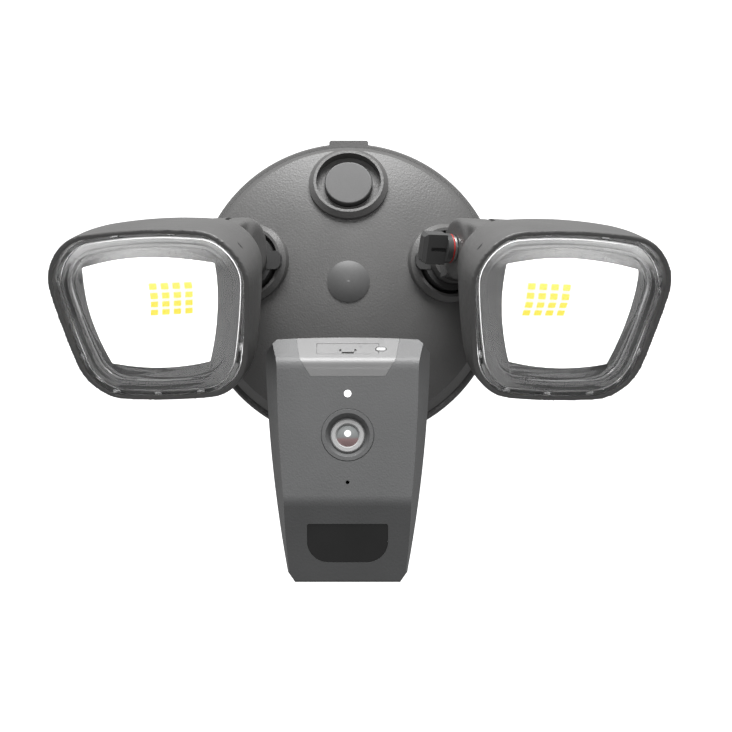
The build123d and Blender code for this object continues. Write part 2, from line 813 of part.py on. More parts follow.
def build_lamp(side, name):
    lamp = LampPlanes(side)
    head, panel, hinge, stem = lamp.head, lamp.panel, lamp.hinge, lamp.stem

    # knuckle: threaded stem, collar, arm and the half barrel that stays with the base
    cheek_start = side * (lamp.joint_x + hinge_gap)
    cheek_end = side * (lamp.joint_x + cheek_length)
    arm_start = min(-8.0, lamp.joint_x + hinge_gap) * side
    with BuildPart() as knuckle:
        with BuildSketch(stem.offset(-12.4)):
            Circle(stem_radius)
        extrude(amount=14.4)
        with BuildSketch(stem.offset(1.8)):
            Circle(10.8)
        extrude(amount=8.4)
        with BuildSketch(stem.offset(10.0)):
            with Locations(((arm_start + cheek_end) / 2, 0)):
                Rectangle(abs(cheek_end - arm_start), 18.0)
        extrude(amount=barrel_height - barrel_radius - 10.5)
        with BuildSketch(stem.offset(10.0)):
            with Locations(((cheek_start + cheek_end) / 2, 0)):
                Rectangle(abs(cheek_end - cheek_start), 20.0)
        extrude(amount=barrel_height - 10.0)
        with BuildSketch(hinge.offset(hinge_gap)):
            Circle(barrel_radius)
        extrude(amount=cheek_length - hinge_gap)
        with BuildSketch(hinge.offset(-1.0)):
            Circle(clamp_hole_radius)
        extrude(amount=cheek_length - 1.0 if side > 0 else cheek_length + 2.0, mode=Mode.SUBTRACT)
    keep(knuckle, f"{name}_knuckle")

    with BuildPart() as stem_nut:
        with BuildSketch(stem.offset(-socket_depth - hinge_gap)):
            RegularPolygon(14.0, 6)
            Circle(stem_radius, mode=Mode.SUBTRACT)
        extrude(amount=-3.8)
    keep(stem_nut, f"{name}_stem_nut")

    with BuildPart() as socket_seal:
        with BuildSketch(stem.offset(-recess_floor)):
            Circle(14.5)
            Circle(10.3, mode=Mode.SUBTRACT)
        extrude(amount=1.0)
    keep(socket_seal, f"{name}_socket_seal")

    # lock ring with one finger tab that reaches over the socket's edge
    with BuildPart() as lock_ring:
        with BuildSketch(stem.offset(-recess_floor + 1.3)):
            Circle(13.6)
            Circle(stem_radius + 0.05, mode=Mode.SUBTRACT)
        extrude(amount=2.2)
        with BuildSketch(stem.offset(-recess_floor + 3.5)):
            Circle(13.6)
            Circle(11.1, mode=Mode.SUBTRACT)
        extrude(amount=3.6)
        with BuildSketch(stem.offset(3.4)):
            with Locations((-side * 13.6, 0)):
                RectangleRounded(8.8, 8.8, 3.0)
            Circle(11.1, mode=Mode.SUBTRACT)
        extrude(amount=1.9)
    keep(lock_ring, f"{name}_lock_ring")

    with BuildPart() as cavity:
        for depth, inset in ((-4.0, 4.2), (-20.0, 6.6), (-33.0, 12.5)):
            with BuildSketch(head.offset(depth)):
                add(hood_outline(inset))
        loft(ruled=True)

    # hinge lug: its inboard end is flat under the knob on the right, domed on the left
    with BuildPart() as lug:
        with BuildSketch(hinge):
            Circle(barrel_radius)
        extrude(amount=-lamp.lug_length)
        lug_end = lug.faces().sort_by_distance(hinge.offset(-lamp.lug_length).origin)[0]
        fillet(lug_end.edges(), 1.0 if side > 0 else 6.0)

    # housing: bowl, neck and hinge lug in one casting
    with BuildPart() as housing:
        for depth, inset, lift in hood_stations:
            with BuildSketch(head.offset(depth)):
                add(hood_outline(inset, lift))
        loft(ruled=True)
        for depth, low, high, shortfall in ((-head_back, 6.0, 32.6, 2.5), (-10.0, 3.0, 35.0, 0.0)):
            reach = lamp.lug_length - shortfall
            with BuildSketch(head.offset(depth)):
                with Locations((-side * (lug_to_centre + reach / 2), (low + high) / 2)):
                    Rectangle(reach, high - low)
        loft(ruled=True)
        add(lug.part)
        # room for the knuckle's half barrel
        with BuildSketch(hinge):
            Circle(barrel_radius + 0.8)
        extrude(amount=cheek_length + 1.5, mode=Mode.SUBTRACT)
        with BuildSketch(head.offset(8.0)):
            add(hood_outline(hood_wall))
        extrude(amount=-12.4, mode=Mode.SUBTRACT)
        add(cavity.part, mode=Mode.SUBTRACT)
        # the front edge leans forward over the top of the lens
        with BuildSketch(lamp.profile.offset(-60)):
            with BuildLine():
                Polyline((-60, -1.7), (60, 7.7), (60, 20), (-60, 20), close=True)
            make_face()
        extrude(amount=120, mode=Mode.SUBTRACT)
        # screw hole: right through on the right lamp, blind on the left one
        with BuildSketch(hinge.offset(1.0)):
            Circle(clamp_hole_radius)
        extrude(amount=-lamp.lug_length - 2.0 if side > 0 else -11.5, mode=Mode.SUBTRACT)
        with BuildSketch(lamp.panel.offset(-32.0)):
            with Locations((-20.6, 0), (20.6, 0)):
                Circle(1.2)
        extrude(amount=-5.0, mode=Mode.SUBTRACT)
    keep(housing, f"{name}_housing")

    with BuildPart() as lens_gasket:
        with BuildSketch(head.offset(-4.4)):
            add(hood_outline(hood_wall + 0.1))
            add(hood_outline(hood_wall + 1.5), mode=Mode.SUBTRACT)
        extrude(amount=1.6)
    keep(lens_gasket, f"{name}_lens_gasket")

    with BuildPart() as lens_cover:
        with BuildSketch(head.offset(-2.8)):
            add(hood_outline(hood_wall + 0.2))
        extrude(amount=2.2)
        with BuildSketch(head.offset(-0.6)):
            add(hood_outline(hood_wall + 0.2))
            add(hood_outline(hood_wall + 6.0), mode=Mode.SUBTRACT)
        extrude(amount=1.4)
    keep(lens_cover, f"{name}_lens_cover")

    with BuildPart() as cup:
        with BuildSketch(panel.offset(-4.3)):
            add(opening_outline(1.2))
        with BuildSketch(panel.offset(-30.9)):
            Rectangle(36, 28)
        loft(ruled=True)

    with BuildPart() as cup_hollow:
        with BuildSketch(panel.offset(-3.0)):
            add(opening_outline(0))
        with BuildSketch(panel.offset(-31.0)):
            Rectangle(34, 26)
        loft(ruled=True)

    with BuildPart() as reflector:
        with BuildSketch(head.offset(-4.3)):
            add(hood_outline(hood_wall + 2.0))
        extrude(amount=1.2)
        add(cup.part)
        add(cup_hollow.part, mode=Mode.SUBTRACT)
    keep(reflector, f"{name}_reflector")

    with BuildPart() as led_board:
        with BuildSketch(panel.offset(led_plane - 1.6)):
            RectangleRounded(46.0, 32.0, 2.0)
            with Locations((-20.6, 0), (20.6, 0)):
                Circle(1.25, mode=Mode.SUBTRACT)
        extrude(amount=1.6)
    keep(led_board, f"{name}_led_board")

    with BuildPart() as led_chips:
        with BuildSketch(panel.offset(led_plane)):
            with Locations((side * chip_shift, 0)):
                with GridLocations(*lamp_led_pitch, 4, 4):
                    Rectangle(*lamp_led_size[:2])
        extrude(amount=lamp_led_size[2])
    keep(led_chips, f"{name}_led_chips")

    with BuildPart() as board_screws:
        with BuildSketch(panel.offset(led_plane)):
            with Locations((-20.6, 0), (20.6, 0)):
                Circle(2.1)
        extrude(amount=1.2)
        with BuildSketch(panel.offset(led_plane)):
            with Locations((-20.6, 0), (20.6, 0)):
                Circle(1.2)
        extrude(amount=-5.0)
    keep(board_screws, f"{name}_board_screws")

    # clamp screw through the barrel, with washer, sealing ring and wing knob at the viewer's left
    end = hinge.offset(lamp.knob_end)
    reach = lamp.knob_way
    with BuildPart() as clamp_screw:
        with BuildSketch(end.offset(reach * 3.0)):
            Circle(clamp_screw_radius)
        extrude(amount=-reach * clamp_screw_length)
    keep(clamp_screw, f"{name}_clamp_screw")

    with BuildPart() as knob_washer:
        with BuildSketch(end.offset(reach * 0.3)):
            Circle(washer_radius)
            Circle(clamp_screw_radius, mode=Mode.SUBTRACT)
        extrude(amount=reach * 1.2)
    keep(knob_washer, f"{name}_knob_washer")

    with BuildPart() as knob_ring:
        with BuildSketch(end.offset(reach * 1.5)):
            Circle(washer_radius + 0.5)
            Circle(clamp_screw_radius, mode=Mode.SUBTRACT)
        extrude(amount=reach * 1.0)
        fillet(knob_ring.edges().filter_by(GeomType.CIRCLE).sort_by(SortBy.RADIUS)[-2:], 0.45)
    keep(knob_ring, f"{name}_knob_ring")

    with BuildPart() as wing_knob:
        with BuildSketch(end.offset(reach * 2.5)):
            Circle(knob_disc_radius)
        extrude(amount=reach * 2.6)
        with BuildSketch(end.offset(reach * 5.1)):
            Rectangle(8.0, 14.0)
            with Locations((-4.0, 0), (4.0, 0)):
                Rectangle(3.6, 1.8, mode=Mode.SUBTRACT)
        extrude(amount=reach * 7.4)
        with BuildSketch(end.offset(reach * 12.5)):
            Rectangle(8.0, 14.0)
        extrude(amount=reach * 3.6)
        tip = wing_knob.faces().sort_by_distance(end.offset(reach * 16.1).origin)[0]
        chamfer(tip.edges(), 1.6)
        with BuildSketch(end.offset(reach * 2.0)):
            Circle(clamp_screw_radius)
        extrude(amount=reach * 1.0, mode=Mode.SUBTRACT)
    keep(wing_knob, f"{name}_wing_knob")


build_lamp(1, "right")
build_lamp(-1, "left")
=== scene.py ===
import bpy
import json
import math
from mathutils import Matrix, Vector


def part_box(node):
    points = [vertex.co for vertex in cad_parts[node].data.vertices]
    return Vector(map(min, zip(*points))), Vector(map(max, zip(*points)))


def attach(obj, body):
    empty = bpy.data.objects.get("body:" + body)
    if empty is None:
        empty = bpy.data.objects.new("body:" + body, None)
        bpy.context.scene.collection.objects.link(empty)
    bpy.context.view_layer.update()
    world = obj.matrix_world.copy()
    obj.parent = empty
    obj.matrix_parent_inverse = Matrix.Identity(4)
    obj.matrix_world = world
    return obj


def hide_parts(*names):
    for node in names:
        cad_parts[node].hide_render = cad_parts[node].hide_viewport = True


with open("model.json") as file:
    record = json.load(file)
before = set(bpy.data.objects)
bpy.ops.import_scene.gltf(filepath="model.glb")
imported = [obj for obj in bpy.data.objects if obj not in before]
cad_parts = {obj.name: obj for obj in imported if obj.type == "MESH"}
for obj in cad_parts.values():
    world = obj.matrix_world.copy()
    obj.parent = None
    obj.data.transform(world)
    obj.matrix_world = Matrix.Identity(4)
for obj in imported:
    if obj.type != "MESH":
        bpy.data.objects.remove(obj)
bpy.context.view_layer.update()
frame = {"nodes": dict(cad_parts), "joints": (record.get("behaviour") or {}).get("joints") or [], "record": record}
record = frame["record"]
joints = {joint["name"]: joint for joint in frame["joints"]}
bpy.ops.object.select_all(action='DESELECT')
print("frame loaded")


class Wire:  # a socket that can be written in sums
    def __init__(self, paint, socket):
        self.paint = paint
        self.socket = socket

    def maths(self, operation, first, second):
        return self.paint.add("ShaderNodeMath", {"operation": operation}, {0: first, 1: second})

    def __add__(self, other):
        return self.maths('ADD', self, other)

    def __sub__(self, other):
        return self.maths('SUBTRACT', self, other)

    def __mul__(self, other):
        return self.maths('MULTIPLY', self, other)

    def __rsub__(self, other):
        return self.maths('SUBTRACT', other, self)

    __radd__ = __add__
    __rmul__ = __mul__


class Paint:  # one material and its nodes
    def __init__(self, name):
        self.material = bpy.data.materials.new(name)
        self.material.use_nodes = True
        self.tree = self.material.node_tree
        self.tree.nodes.clear()
        self.place = self.add("ShaderNodeTexCoord", out="Object")  # metres, the same on every piece

    def add(self, kind, settings=None, values=None, out=0):
        node = self.tree.nodes.new(kind)
        for key, value in (settings or {}).items():
            if key == "stops":
                node.color_ramp.elements[0].position, node.color_ramp.elements[0].color = value[0]
                node.color_ramp.elements[1].position, node.color_ramp.elements[1].color = value[-1]
                for spot, colour in value[1:-1]:
                    node.color_ramp.elements.new(spot).color = colour
            else:
                setattr(node, key, value)
        for key, value in (values or {}).items():
            if isinstance(value, Wire):
                self.tree.links.new(value.socket, node.inputs[key])
            else:
                node.inputs[key].default_value = value
        return Wire(self, node.outputs[out])

    def noise(self, scale, detail=2.0):
        return self.add("ShaderNodeTexNoise", {}, {"Vector": self.place, "Scale": scale, "Detail": detail})

    def blend(self, mask, dark, light):
        return self.add("ShaderNodeMix", {"data_type": 'RGBA'}, {0: mask, 6: dark, 7: light}, out=2)

    def band(self, wire, low, high, start=0.0, end=1.0):  # maps a stretch of values to another
        return self.add("ShaderNodeMapRange", {}, {0: wire, 1: low, 2: high, 3: start, 4: end})

    def bump(self, height, distance):
        return self.add("ShaderNodeBump", {}, {"Height": height, "Distance": distance, "Strength": 1.0})

    def surface(self, values):
        shader = self.add("ShaderNodeBsdfPrincipled", {}, values)
        self.add_output(shader)
        return self.material

    def add_output(self, shader):
        output = self.tree.nodes.new("ShaderNodeOutputMaterial")
        self.tree.links.new(shader.socket, output.inputs["Surface"])


def grey(level, warm=0.0):
    return (level * (1 + warm), level, level * (1 - warm), 1.0)


# colour and roughness run between two values over large soft patches; grain is in metres
mouldedFinishes = {
    "casing_grey": {"dark": grey(0.092, 0.01), "light": grey(0.108, 0.01), "smooth": 0.36, "rough": 0.46,
                    "grain": 0.00075, "depth": 0.00013, "coat": 0.04},
    "camera_grey": {"dark": grey(0.094, -0.01), "light": grey(0.108, -0.01), "smooth": 0.38, "rough": 0.47,
                    "grain": 0.00070, "depth": 0.00009, "coat": 0.02},
    "trim_satin": {"dark": grey(0.125), "light": grey(0.145), "smooth": 0.26, "rough": 0.33,
                   "grain": 0.00022, "depth": 0.000008, "coat": 0.12},
    "socket_plastic": {"dark": grey(0.052), "light": grey(0.066), "smooth": 0.34, "rough": 0.44,
                       "grain": 0.00034, "depth": 0.000018, "coat": 0.05},
    "gasket_rubber": {"dark": grey(0.012), "light": grey(0.020), "smooth": 0.55, "rough": 0.70,
                      "grain": 0.00030, "depth": 0.000020, "coat": 0.0},
    "driver_plastic": {"dark": grey(0.55), "light": grey(0.62), "smooth": 0.40, "rough": 0.52,
                       "grain": 0.00040, "depth": 0.000020, "coat": 0.0},
    "lens_ring_grey": {"dark": grey(0.33), "light": grey(0.39), "smooth": 0.28, "rough": 0.36,
                       "grain": 0.00018, "depth": 0.000006, "coat": 0.15},
    "pir_dark": {"dark": grey(0.018), "light": grey(0.024), "smooth": 0.42, "rough": 0.50,
                 "grain": 0.00026, "depth": 0.000012, "coat": 0.0},
    "board_green": {"dark": (0.010, 0.070, 0.030, 1), "light": (0.016, 0.105, 0.045, 1), "smooth": 0.30,
                    "rough": 0.42, "grain": 0.00060, "depth": 0.000014, "coat": 0.3},
    "speaker_black": {"dark": grey(0.010), "light": grey(0.018), "smooth": 0.50, "rough": 0.62,
                      "grain": 0.00050, "depth": 0.000030, "coat": 0.0},
    "red_silicone": {"dark": (0.32, 0.016, 0.014, 1), "light": (0.50, 0.032, 0.026, 1), "smooth": 0.36,
                     "rough": 0.48, "grain": 0.00024, "depth": 0.000010, "coat": 0.1},
    "led_plate": {"dark": grey(0.90), "light": grey(0.96), "smooth": 0.30, "rough": 0.42,
                  "grain": 0.00050, "depth": 0.000008, "coat": 0.1},
}


def mouldedPlastic(slotName, values):  # fine spark-eroded grain, slow patches and rubbed spots
    paint = Paint(slotName + "Finish")
    fine = paint.noise(1 / values["grain"], 2.0)
    pits = paint.add("ShaderNodeTexVoronoi", {"feature": 'SMOOTH_F1'},
                     {"Vector": paint.place, "Scale": 0.7 / values["grain"], "Smoothness": 0.6})
    patches = paint.noise(38.0, 3.0)
    rubs = paint.band(paint.noise(160.0, 4.0), 0.56, 0.74)
    tone = paint.band(patches * 0.8 + fine * 0.2, 0.32, 0.68)
    colour = paint.blend(tone, values["dark"], values["light"])
    spread = values["rough"] - values["smooth"]
    roughness = values["smooth"] + tone * spread * 0.6 + fine * spread * 0.4 - rubs * spread * 0.5
    normal = paint.bump(fine * 0.6 + pits * 0.4, values["depth"])
    return paint.surface({"Base Color": colour, "Roughness": roughness, "Normal": normal,
                          "Specular IOR Level": 0.35, "Coat Weight": values["coat"], "Coat Roughness": 0.3})


def platedSteel():  # zinc with faint turning lines and cloudy passivation
    paint = Paint("zincSteelFinish")
    clouds = paint.noise(240.0, 3.0)
    lines = paint.noise(4200.0, 1.0)
    colour = paint.blend(clouds, (0.42, 0.43, 0.44, 1), (0.62, 0.62, 0.60, 1))
    roughness = 0.22 + clouds * 0.16 + lines * 0.08
    return paint.surface({"Base Color": colour, "Roughness": roughness, "Metallic": 1.0,
                          "Normal": paint.bump(lines, 0.000006)})


def sensorCan():  # drawn nickel can of the motion sensor
    paint = Paint("sensorCanFinish")
    clouds = paint.noise(900.0, 3.0)
    colour = paint.blend(clouds, (0.50, 0.49, 0.46, 1), (0.66, 0.65, 0.62, 1))
    return paint.surface({"Base Color": colour, "Roughness": 0.20 + clouds * 0.15, "Metallic": 1.0,
                          "Normal": paint.bump(clouds, 0.000005)})


# metres: how far the painted highlight, a glowing white disc standing in for a reflection of a light, stands above
# the middle of the glass, and where its edge fades
lensPaintedHighlight = {"rise": 0.0009, "inner": 0.0010, "outer": 0.0017, "glow": 0.9}


def lensGlass():  # glass: grey above and warmer low down, with a painted highlight in the middle, a small glowing white disc standing in for a reflection
    paint = Paint("lensGlassFinish")
    low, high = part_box("lens_glass")
    height = paint.add("ShaderNodeSeparateXYZ", {}, {0: paint.place}, out=2)
    rise = paint.band(height, low.z, high.z)
    film = paint.noise(420.0, 2.0)
    mixed = paint.band(rise + film * 0.10, 0.36, 0.50)
    colour = paint.blend(mixed, (0.26, 0.17, 0.17, 1), (0.22, 0.23, 0.23, 1))
    middle = (low + high) / 2
    spot = (middle.x, middle.y, middle.z + lensPaintedHighlight["rise"])
    offset = paint.add("ShaderNodeVectorMath", {"operation": 'SUBTRACT'}, {0: paint.place, 1: spot})
    flat = paint.add("ShaderNodeVectorMath", {"operation": 'MULTIPLY'}, {0: offset, 1: (1, 0, 1)})
    reach = paint.add("ShaderNodeVectorMath", {"operation": 'LENGTH'}, {0: flat}, out="Value")
    # painted highlight: a small white disc, set glowing too, where a reflection of a light sits on the glass
    paintedHighlight = paint.band(reach, lensPaintedHighlight["inner"], lensPaintedHighlight["outer"], 1.0, 0.0)
    return paint.surface({"Base Color": paint.blend(paintedHighlight, colour, grey(0.9)),
                          "Roughness": 0.07 + film * 0.05,
                          "Emission Color": paint.blend(paintedHighlight, grey(0.0), grey(1.0)),
                          "Emission Strength": lensPaintedHighlight["glow"], "Coat Weight": 0.3,
                          "Coat Roughness": 0.03, "Normal": paint.bump(film, 0.000001)})


def glowing(name, colour, strength, grainScale):  # glowing face with slight unevenness; on the white reflector cup, which is no lamp, this glow is painted light
    paint = Paint(name)
    cloud = paint.noise(grainScale, 2.0)
    tint = paint.blend(cloud, tuple(0.94 * part for part in colour[:3]) + (1,), colour)
    return paint.surface({"Base Color": tint, "Emission Color": tint, "Emission Strength": strength,
                          "Roughness": 0.35 + cloud * 0.15, "Normal": paint.bump(cloud, 0.000008)})


def ledPhosphor():  # phosphor domes, paler in the upper rows
    paint = Paint("ledPhosphorFinish")
    low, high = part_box("right_led_chips")
    height = paint.add("ShaderNodeSeparateXYZ", {}, {0: paint.place}, out=2)
    rise = paint.band(height, low.z, high.z)
    speckle = paint.noise(2600.0, 2.0)
    colour = paint.blend(rise + speckle * 0.1 - 0.05, (1.0, 0.80, 0.0, 1), (1.0, 0.95, 0.16, 1))
    body = paint.blend(speckle, (0.10, 0.075, 0.0, 1), (0.14, 0.10, 0.002, 1))
    return paint.surface({"Base Color": body, "Emission Color": colour, "Emission Strength": 0.92,
                          "Roughness": 0.45 + speckle * 0.1, "Specular IOR Level": 0.02,
                          "Normal": paint.bump(speckle, 0.000010)})


def paintedShadeBezel():  # silvered moulding round the mouth, with painted light: bright at the top as a painted highlight and near black low down as painted shade
    paint = Paint("satinBezelFinish")
    low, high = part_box("right_lens_cover")
    height = paint.add("ShaderNodeSeparateXYZ", {}, {0: paint.place}, out=2)
    rise = paint.band(height, low.z, high.z)
    cloud = paint.noise(500.0, 2.0)
    # painted highlight and painted shade: the colour runs from near black below to bright grey at the top
    colour = paint.blend(paint.band(rise + cloud * 0.06, 0.78, 1.02), grey(0.05), grey(0.60))
    return paint.surface({"Base Color": colour, "Metallic": 0.6, "Roughness": 0.24 + cloud * 0.12,
                          "Normal": paint.bump(cloud, 0.000005)})


def clearCover():  # polished polycarbonate
    paint = Paint("clearCoverFinish")
    haze = paint.noise(300.0, 3.0)
    return paint.surface({"Base Color": paint.blend(haze, grey(0.93), grey(0.99)),
                          "Roughness": 0.02 + haze * 0.05, "IOR": 1.58, "Transmission Weight": 1.0,
                          "Normal": paint.bump(haze, 0.000004)})


finishes = {name: mouldedPlastic(name, values) for name, values in mouldedFinishes.items()}
finishes["zinc_steel"] = platedSteel()
finishes["sensor_metal"] = sensorCan()
finishes["camera_glass"] = lensGlass()
finishes["indicator_white"] = glowing("indicatorFinish", (1.0, 1.0, 1.0, 1), 1.1, 900.0)
# painted light: the white reflector cup is no lamp, yet it glows to look bright
finishes["reflector_white"] = glowing("reflectorFinish", (1.0, 1.0, 1.0, 1), 1.22, 220.0)
finishes["led_yellow"] = ledPhosphor()
finishes["clear_cover"] = clearCover()
finishes["bezel"] = paintedShadeBezel()
finishes["cap"] = mouldedPlastic("cap", {"dark": grey(0.085), "light": grey(0.100), "smooth": 0.40,
                                        "rough": 0.50, "grain": 0.00030, "depth": 0.000020, "coat": 0.0})
ownFinish = {"centre_cap": "cap"}  # nodes that differ from their slot's first finish

for subpart in record["subparts"]:
    node = frame["nodes"][subpart["node"]]
    finish = finishes[ownFinish.get(subpart["node"], subpart["material_slot"])]
    node.data.materials.clear()
    node.data.materials.append(finish)
print("finishes laid on", len(record["subparts"]), "nodes")


def tidyObject(obj, name):  # leaves the object at the origin, unturned, under its own name
    bpy.ops.object.select_all(action='DESELECT')
    obj.select_set(True)
    bpy.context.view_layer.objects.active = obj
    bpy.ops.object.transform_apply(location=True, rotation=True, scale=True)
    obj.name = name
    obj.data.name = name
    return obj


def applyModifier(obj, kind, **settings):
    bpy.context.view_layer.objects.active = obj
    modifier = obj.modifiers.new(kind.lower(), kind)
    for key, value in settings.items():
        setattr(modifier, key, value)
    bpy.ops.object.modifier_apply(modifier=modifier.name)


def smoothRemesh(obj, voxel, rounds):  # one even skin over joined solids, with its steps eased
    applyModifier(obj, 'REMESH', mode='VOXEL', voxel_size=voxel)
    applyModifier(obj, 'SMOOTH', factor=0.5, iterations=rounds)


def cutAway(obj, cutter):
    applyModifier(obj, 'BOOLEAN', operation='DIFFERENCE', solver='EXACT', object=cutter)
    bpy.data.objects.remove(cutter)


def joinPieces(main, others):
    bpy.ops.object.select_all(action='DESELECT')
    for other in others:
        other.select_set(True)
    main.select_set(True)
    bpy.context.view_layer.objects.active = main
    bpy.ops.object.join()
    return main


def ringVertices(obj):
    return [vertex for vertex in obj.data.vertices if vertex.select]


def loftRings(rings, closing):  # extrudes one ring of points after another; closing is 'caps' or 'tube'
    bpy.ops.object.select_all(action='DESELECT')
    bpy.ops.mesh.primitive_circle_add(vertices=len(rings[0]), radius=1.0)
    obj = bpy.context.object
    for vertex, point in zip(obj.data.vertices, rings[0]):
        vertex.co = point
    if closing == 'caps':
        bpy.ops.object.mode_set(mode='EDIT')
        bpy.ops.mesh.select_all(action='SELECT')
        bpy.ops.mesh.edge_face_add()
        bpy.ops.object.mode_set(mode='OBJECT')
    current = list(rings[0])
    for ring in rings[1:]:
        order = {tuple(round(part, 6) for part in point): index for index, point in enumerate(current)}
        bpy.ops.object.mode_set(mode='EDIT')
        bpy.ops.mesh.select_mode(type='VERT')
        bpy.ops.mesh.extrude_region_move()
        bpy.ops.object.mode_set(mode='OBJECT')
        for vertex in ringVertices(obj):
            vertex.co = ring[order[tuple(round(part, 6) for part in vertex.co)]]
        current = list(ring)
    bpy.ops.object.mode_set(mode='EDIT')
    if closing == 'tube':
        bpy.ops.mesh.select_all(action='DESELECT')
        bpy.ops.mesh.select_non_manifold()
        bpy.ops.mesh.bridge_edge_loops()
    bpy.ops.mesh.select_all(action='SELECT')
    bpy.ops.mesh.normals_make_consistent(inside=False)
    bpy.ops.mesh.select_all(action='DESELECT')
    bpy.ops.object.mode_set(mode='OBJECT')
    return obj


def finishPiece(obj, name, body, finish, replaced, angle=35.0):
    tidyObject(obj, name)
    obj.data.materials.clear()
    obj.data.materials.append(finish)
    bpy.ops.object.shade_smooth_by_angle(angle=math.radians(angle))
    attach(obj, body)
    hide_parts(replaced)
    return obj


lampShape = {
    "pitch": 25.0, "hingeToMiddle": 18.8, "hingeToFront": 50.0, "hingeDrop": 18.6,
    "lugRadius": 14.4, "lugLength": {1: 18.0, -1: 14.2}, "lugRound": {1: 1.2, -1: 6.0}, "panelShift": 2.7,
    "corner": 19.0, "arcSteps": 9, "edgeSteps": 12,
    "halfTop": 51.9, "halfBottom": 38.4, "high": 36.8, "low": -37.0,
    "sideSlant": 1.08, "cornerShrink": 0.85, "bow": (4.8, 2.0, 2.4),
}
# distance behind the front edge, inset of the outline and lift of its top edge, in millimetres
hoodStations = [(9.0, 0.05, 0.0), (0.0, 0.05, 0.0), (-6.0, 0.5, 0.4), (-12.0, 1.25, 0.9),
                (-18.0, 2.8, 2.0), (-25.0, 4.7, 3.2), (-30.0, 7.7, 3.9), (-34.0, 10.6, 4.3),
                (-37.5, 13.9, 4.1), (-40.3, 17.2, 3.8)]
# the same without a lift, for the hollow behind the cover
cavityStations = [(-3.6, 4.2), (-20.0, 6.6), (-33.0, 12.5)]
# distance behind the front edge, lower and upper edge, and how far the throat stops short of the barrel's end
neckStations = [(-50.0, 6.2, 32.4, 3.0), (-40.0, 5.2, 33.4, 1.4),
                (-28.0, 4.4, 34.2, 0.8), (-10.0, 3.2, 34.6, 0.4)]
# cuts in the housing: lip for the cover, slanted front edge, and the radius, start and length of two bores
housingCuts = {"lipInset": 2.4, "lipAhead": (12.0, -4.4), "edgeAhead": 3.0, "edgeSlant": 9.4 / 120,
               "knuckle": (15.4, 0.05, 17.5), "screwHole": (2.55, 1.0, -21.0)}


class LampFrame:  # the lamp's own directions and origin, taken from its joints
    def __init__(self, side):
        self.side = side
        self.name = "right" if side > 0 else "left"
        self.right = Vector(joints[self.name + "_tilt"]["axis"])
        outward = Vector(joints[self.name + "_swivel"]["axis"])
        rise = self.right.cross(outward) * -1.0
        pitch = math.radians(lampShape["pitch"])
        self.forward = outward * math.cos(pitch) - rise * math.sin(pitch)
        self.up = self.forward.cross(self.right)
        self.hinge = Vector(joints[self.name + "_tilt"]["pos_m"])
        self.middle = self.hinge + (self.right * (side * lampShape["hingeToMiddle"])
                                    + self.forward * lampShape["hingeToFront"]
                                    - self.up * lampShape["hingeDrop"]) * 0.001

    def point(self, across, high, ahead):  # millimetres in the lamp to metres in the frame
        return self.middle + (self.right * across + self.up * high + self.forward * ahead) * 0.001

    def matrix(self):
        turn = Matrix((self.right, self.up, self.forward)).transposed().to_4x4()
        return Matrix.Translation(self.middle) @ turn


def roundedOutline(top, bottom, high, low, corner, bulges):  # trapezoid with round corners and bowed edges
    corners = [Vector((top, high)), Vector((-top, high)), Vector((-bottom, low)), Vector((bottom, low))]
    arcs = []
    for index, spot in enumerate(corners):
        before = (corners[index - 1] - spot).normalized()
        after = (corners[(index + 1) % 4] - spot).normalized()
        half = before.angle(after) / 2
        centre = spot + (before + after).normalized() * (corner / math.sin(half))
        start = spot + before * (corner / math.tan(half)) - centre
        sweep = math.pi - 2 * half
        steps = lampShape["arcSteps"]
        arcs.append([centre + Matrix.Rotation(sweep * step / (steps - 1), 2) @ start
                     for step in range(steps)])
    points = []
    for index, arc in enumerate(arcs):
        points.extend(arc)
        following = arcs[(index + 1) % 4][0]
        steps = lampShape["edgeSteps"]
        points.extend(arc[-1].lerp(following, step / steps) for step in range(1, steps))
    topBulge, sideBulge, bottomBulge = bulges
    bowed = []
    for x, y in points:
        level = (y - low) / (high - low)
        width = bottom + (top - bottom) * level
        bow = max(0.0, 1 - (x / width) ** 2)
        lift = topBulge * bow * level ** 3 - bottomBulge * bow * (1 - level) ** 3
        swell = 1 + sideBulge / width * max(0.0, 1 - (2 * level - 1) ** 2)
        bowed.append((x * swell, y + lift))
    return bowed


def hoodOutline(inset, lift=0.0):
    slant = lampShape["sideSlant"] * inset
    return roundedOutline(lampShape["halfTop"] - slant, lampShape["halfBottom"] - slant,
                          lampShape["high"] - inset + lift, inset + lampShape["low"],
                          lampShape["corner"] - lampShape["cornerShrink"] * inset, lampShape["bow"])


def mouthOutline(growth):
    return roundedOutline(33.7 + growth, 25.3 + growth, 23.4 + growth, -23.4 - growth, 0.6, (3.2, 2.3, 2.7))


def backOutline(growth):
    return roundedOutline(17.0 + growth, 17.0 + growth, 13.0 + growth, -13.0 - growth, 0.5, (0.0, 0.0, 0.0))


def ringAt(lamp, outline, ahead, shift=0.0):
    return [lamp.point(x + shift, y, ahead) for x, y in outline]


